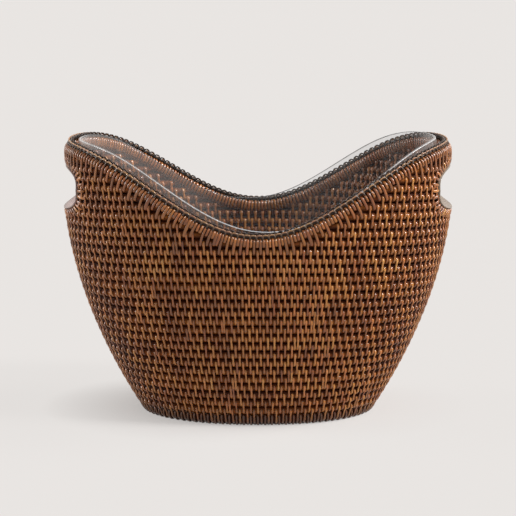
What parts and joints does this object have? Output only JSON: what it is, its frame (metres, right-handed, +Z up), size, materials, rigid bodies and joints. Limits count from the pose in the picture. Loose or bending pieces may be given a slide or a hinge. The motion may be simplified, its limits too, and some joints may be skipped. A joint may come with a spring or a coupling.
{
  "type": "rattan champagne bucket",
  "caption": "Oval rattan tub of stacked bound rods with a saddle rim, a hand-hold in each end wall and a loose clear acrylic liner for ice and bottles.",
  "frame": {"origin": "middle of the underside, on the surface that the basket stands on", "axes": "+Z up, +X along the length towards the right end, -Y towards the front"},
  "size_m": [0.3922, 0.2706, 0.2761],
  "materials": {
    "rattan": "brown stained rattan under a satin lacquer",
    "rattan_light": "lighter brown stained rattan strip under a satin lacquer",
    "rattan_dark": "dark brown stained rattan rod, matte",
    "clear_acrylic": "clear polished acrylic"
  },
  "bodies": {
    "basket": {"foot_course": "rattan_dark", "floor_mat": "rattan_dark", "wall_course_01": "rattan", "wall_course_02": "rattan", "wall_course_03": "rattan", "wall_course_04": "rattan", "wall_course_05": "rattan", "wall_course_06": "rattan", "wall_course_07": "rattan", "wall_course_08": "rattan", "wall_course_09": "rattan", "wall_course_10": "rattan", "wall_course_11": "rattan", "wall_course_12": "rattan", "wall_course_13": "rattan", "wall_course_14": "rattan", "wall_course_15": "rattan", "wall_course_16": "rattan", "wall_course_17": "rattan", "wall_course_18": "rattan", "wall_course_19": "rattan", "wall_course_20": "rattan", "right_end_course_21": "rattan", "right_end_course_22": "rattan", "right_end_course_23": "rattan", "right_end_course_24": "rattan", "right_back_course_25": "rattan", "right_back_course_26": "rattan", "right_back_course_27": "rattan", "right_back_course_28": "rattan", "right_front_course_25": "rattan", "right_front_course_26": "rattan", "right_front_course_27": "rattan", "right_front_course_28": "rattan", "right_end_course_29": "rattan", "right_end_course_30": "rattan", "left_end_course_21": "rattan", "left_end_course_22": "rattan", "left_end_course_23": "rattan", "left_end_course_24": "rattan", "left_back_course_25": "rattan", "left_back_course_26": "rattan", "left_back_course_27": "rattan", "left_back_course_28": "rattan", "left_front_course_25": "rattan", "left_front_course_26": "rattan", "left_front_course_27": "rattan", "left_front_course_28": "rattan", "left_end_course_29": "rattan", "left_end_course_30": "rattan", "right_handhold_lining": "rattan_light", "left_handhold_lining": "rattan_light", "rim_border": "rattan_light", "rim_crest_plait": "rattan_light"},
    "liner": {"acrylic_liner": "clear_acrylic"}
  },
  "joints": [
    {"name": "liner_lift", "type": "slide", "parent": "basket", "child": "liner", "axis": [0, 0, 1], "range_m": [0, 0.275]}
  ]
}
